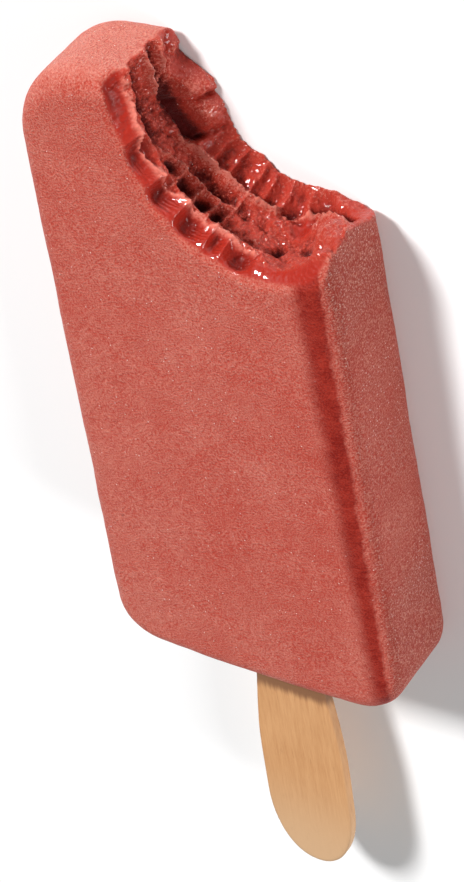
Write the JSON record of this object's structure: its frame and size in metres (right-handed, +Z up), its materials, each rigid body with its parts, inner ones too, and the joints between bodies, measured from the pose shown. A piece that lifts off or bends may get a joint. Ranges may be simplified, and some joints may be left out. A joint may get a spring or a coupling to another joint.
{
  "type": "ice pop",
  "caption": "Bitten slab-shaped sorbet ice pop on a flat wooden stick, lying on its flat back with the bitten corner open to the tip and right side.",
  "frame": {"origin": "on the supporting surface, under the middle of the whole pop's length and width", "axes": "+Z up, out of the front face; +Y along the pop from the stick to the bitten tip; +X to the right seen from the front, towards the bitten corner"},
  "size_m": [0.0562, 0.1722, 0.0199],
  "materials": {
    "sorbet": "frosted red fruit sorbet, wet and glossy inside the bite",
    "stick_wood": "bare planed birch, matt, fine grain along the stick"
  },
  "bodies": {
    "root": {"ice": "sorbet", "stick": "stick_wood"}
  },
  "joints": []
}
